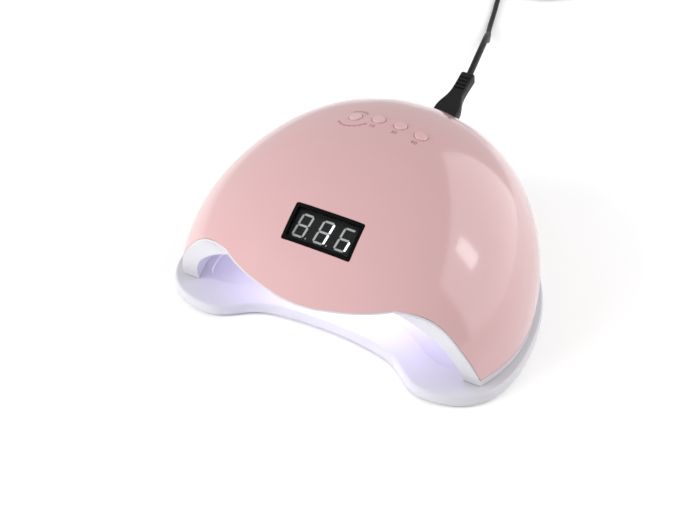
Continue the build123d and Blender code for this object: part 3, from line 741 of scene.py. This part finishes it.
class LAMP_OT_leds(Builder, bpy.types.Operator):
    """Lights the LEDs in the housing's roof and finishes their boards"""

    bl_idname = "nail_lamp.leds"
    bl_label = "LEDs"

    def execute(self, context):
        chosen = settings()
        painted(["led_lenses"], glowing("led_glow", chosen.glow_colour, chosen.glow_strength, 0.5))
        painted(["led_beads"], moulded("led_ceramic", (0.80, 0.77, 0.66), 0.35, 0.06))
        painted(["led_boards"], board("led_board", (0.72, 0.72, 0.70), (0.72, 0.55, 0.25)))
        painted(["led_wires"], rubber("led_wire", (0.30, 0.03, 0.03), 0.4))
        self.glow(chosen.glow_colour, chosen.glow_strength)
        return {"FINISHED"}

    def glow(self, colour, strength):
        """Soft light that the LEDs together throw down on to the tray."""
        light = bpy.data.lights.new("led_glow", "AREA")
        light.shape = "RECTANGLE"
        light.size = 0.13
        light.size_y = 0.11
        light.color = tuple(0.5 + part / 2 for part in colour)
        light.energy = strength * 0.0042
        made = bpy.data.objects.new("led_glow", light)
        made.location = (0, -0.015, 0.056)
        made.visible_camera = False
        made.visible_glossy = False
        bpy.context.scene.collection.objects.link(made)
        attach(made, "housing")


class LAMP_OT_electronics(Builder, bpy.types.Operator):
    """Finishes the boards, parts and wires inside"""

    bl_idname = "nail_lamp.electronics"
    bl_label = "Electronics"

    def execute(self, context):
        green = board("driver_board_green", (0.012, 0.13, 0.05), (0.70, 0.55, 0.25))
        painted(["driver_board", "button_board", "display_board"], green)
        painted(["transformer"], moulded("winding_tape", (0.55, 0.40, 0.06), 0.35, 0.12, 0.00002))
        painted(["capacitors"], moulded("capacitor_sleeve", (0.018, 0.02, 0.045), 0.25, 0.2))
        painted(["heat_sink"], metal("fin_aluminium", (0.66, 0.67, 0.69), 0.35, (1.0, 1.0, 0.1)))
        painted(["buzzer"], moulded("buzzer_black", (0.02, 0.02, 0.02), 0.45))
        painted(["inlet_socket"], moulded("inlet_black", (0.018, 0.018, 0.02), 0.4, 0.1, 0.00002))
        painted(["inlet_pins"], metal("inlet_pin", (0.78, 0.76, 0.70), 0.22))
        wires = ["mains_lead", "display_harness", "button_harness"]
        painted(wires, rubber("wire_sleeve", (0.25, 0.02, 0.02), 0.45))
        return {"FINISHED"}


class LAMP_OT_fittings(Builder, bpy.types.Operator):
    """Finishes the screws and magnets"""

    bl_idname = "nail_lamp.fittings"
    bl_label = "Screws and magnets"

    def execute(self, context):
        steel = metal("screw_zinc", (0.56, 0.56, 0.58), 0.3)
        painted(["housing_screws", "driver_board_screws", "button_board_screws"], steel)
        painted(["tray_magnets", "housing_magnets"], metal("magnet_nickel", (0.72, 0.71, 0.69), 0.16))
        return {"FINISHED"}


class LAMP_OT_stage(Builder, bpy.types.Operator):
    """Sets the plain pale floor and the soft studio lights"""

    bl_idname = "nail_lamp.stage"
    bl_label = "Stage"

    def execute(self, context):
        bm = bmesh.new()
        bmesh.ops.create_grid(bm, x_segments=2, y_segments=2, size=4.0)
        mesh = bpy.data.meshes.new("floor")
        bm.to_mesh(mesh)
        bm.free()
        floor = bpy.data.objects.new("floor", mesh)
        context.scene.collection.objects.link(floor)
        paper = Paint("floor_paper")
        tone = paper.noise(3.0, 2.0)
        warm, bright = shade((0.95, 0.95, 0.95), 1.0), shade((0.97, 0.97, 0.97), 1.0)
        paper.set(Base_Color=paper.blend(tone, warm, bright), Roughness=0.9)
        mesh.materials.append(paper.material)
        world = bpy.data.worlds.new("studio")
        world.use_nodes = True
        world.node_tree.nodes["Background"].inputs["Color"].default_value = (1.0, 1.0, 1.0, 1.0)
        world.node_tree.nodes["Background"].inputs["Strength"].default_value = 0.68
        context.scene.world = world
        context.scene.view_settings.view_transform = "Standard"
        key = self.soft_box("key", (-0.85, -1.0, 0.5), 0.9, 0.9, 19.0)
        key.visible_glossy = False
        self.soft_box("right", (0.88, 0.57, 0.60), 1.9, 1.3, 11.0)
        self.soft_box("window", (0.93, 0.24, 0.86), 0.20, 0.36, 1.1)
        return {"FINISHED"}

    def soft_box(self, name, place, width, height, power):
        """Rectangular light that looks at the lamp."""
        light = bpy.data.lights.new(name, "AREA")
        light.shape = "RECTANGLE"
        light.size = width
        light.size_y = height
        light.energy = power
        made = bpy.data.objects.new(name, light)
        made.location = place
        made.rotation_euler = (Vector((0, 0, 0.05)) - Vector(place)).to_track_quat("-Z", "Y").to_euler()
        bpy.context.scene.collection.objects.link(made)
        return made


OPERATORS = (
    LAMP_OT_camera,
    LAMP_OT_cord,
    LAMP_OT_connector,
    LAMP_OT_cover,
    LAMP_OT_housing,
    LAMP_OT_tray,
    LAMP_OT_buttons,
    LAMP_OT_display,
    LAMP_OT_leds,
    LAMP_OT_electronics,
    LAMP_OT_fittings,
    LAMP_OT_stage,
)


class LAMP_PT_panel(bpy.types.Panel):
    """Lists the lamp's settings and what builds it"""

    bl_idname = "LAMP_PT_panel"
    bl_label = "Nail lamp"
    bl_space_type = "VIEW_3D"
    bl_region_type = "UI"
    bl_category = "Nail lamp"

    def draw(self, context):
        for group in (context.scene.nail_lamp, context.scene.nail_lamp_view):
            for name in group.__annotations__:
                self.layout.prop(group, name)
        for operator in OPERATORS:
            self.layout.operator(operator.bl_idname)


CLASSES = (LampSettings, LampView, *OPERATORS, LAMP_PT_panel)


def register():
    """Adds the classes and the scene's settings."""
    for cls in CLASSES:
        bpy.utils.register_class(cls)
    bpy.types.Scene.nail_lamp = bpy.props.PointerProperty(type=LampSettings)
    bpy.types.Scene.nail_lamp_view = bpy.props.PointerProperty(type=LampView)


def unregister():
    """Takes them away again."""
    del bpy.types.Scene.nail_lamp_view
    del bpy.types.Scene.nail_lamp
    for cls in reversed(CLASSES):
        bpy.utils.unregister_class(cls)


def main():
    """Builds the whole lamp."""
    register()
    for operator in OPERATORS:
        getattr(bpy.ops.nail_lamp, operator.bl_idname.split(".")[1])()


if __name__ == "__main__":
    main()
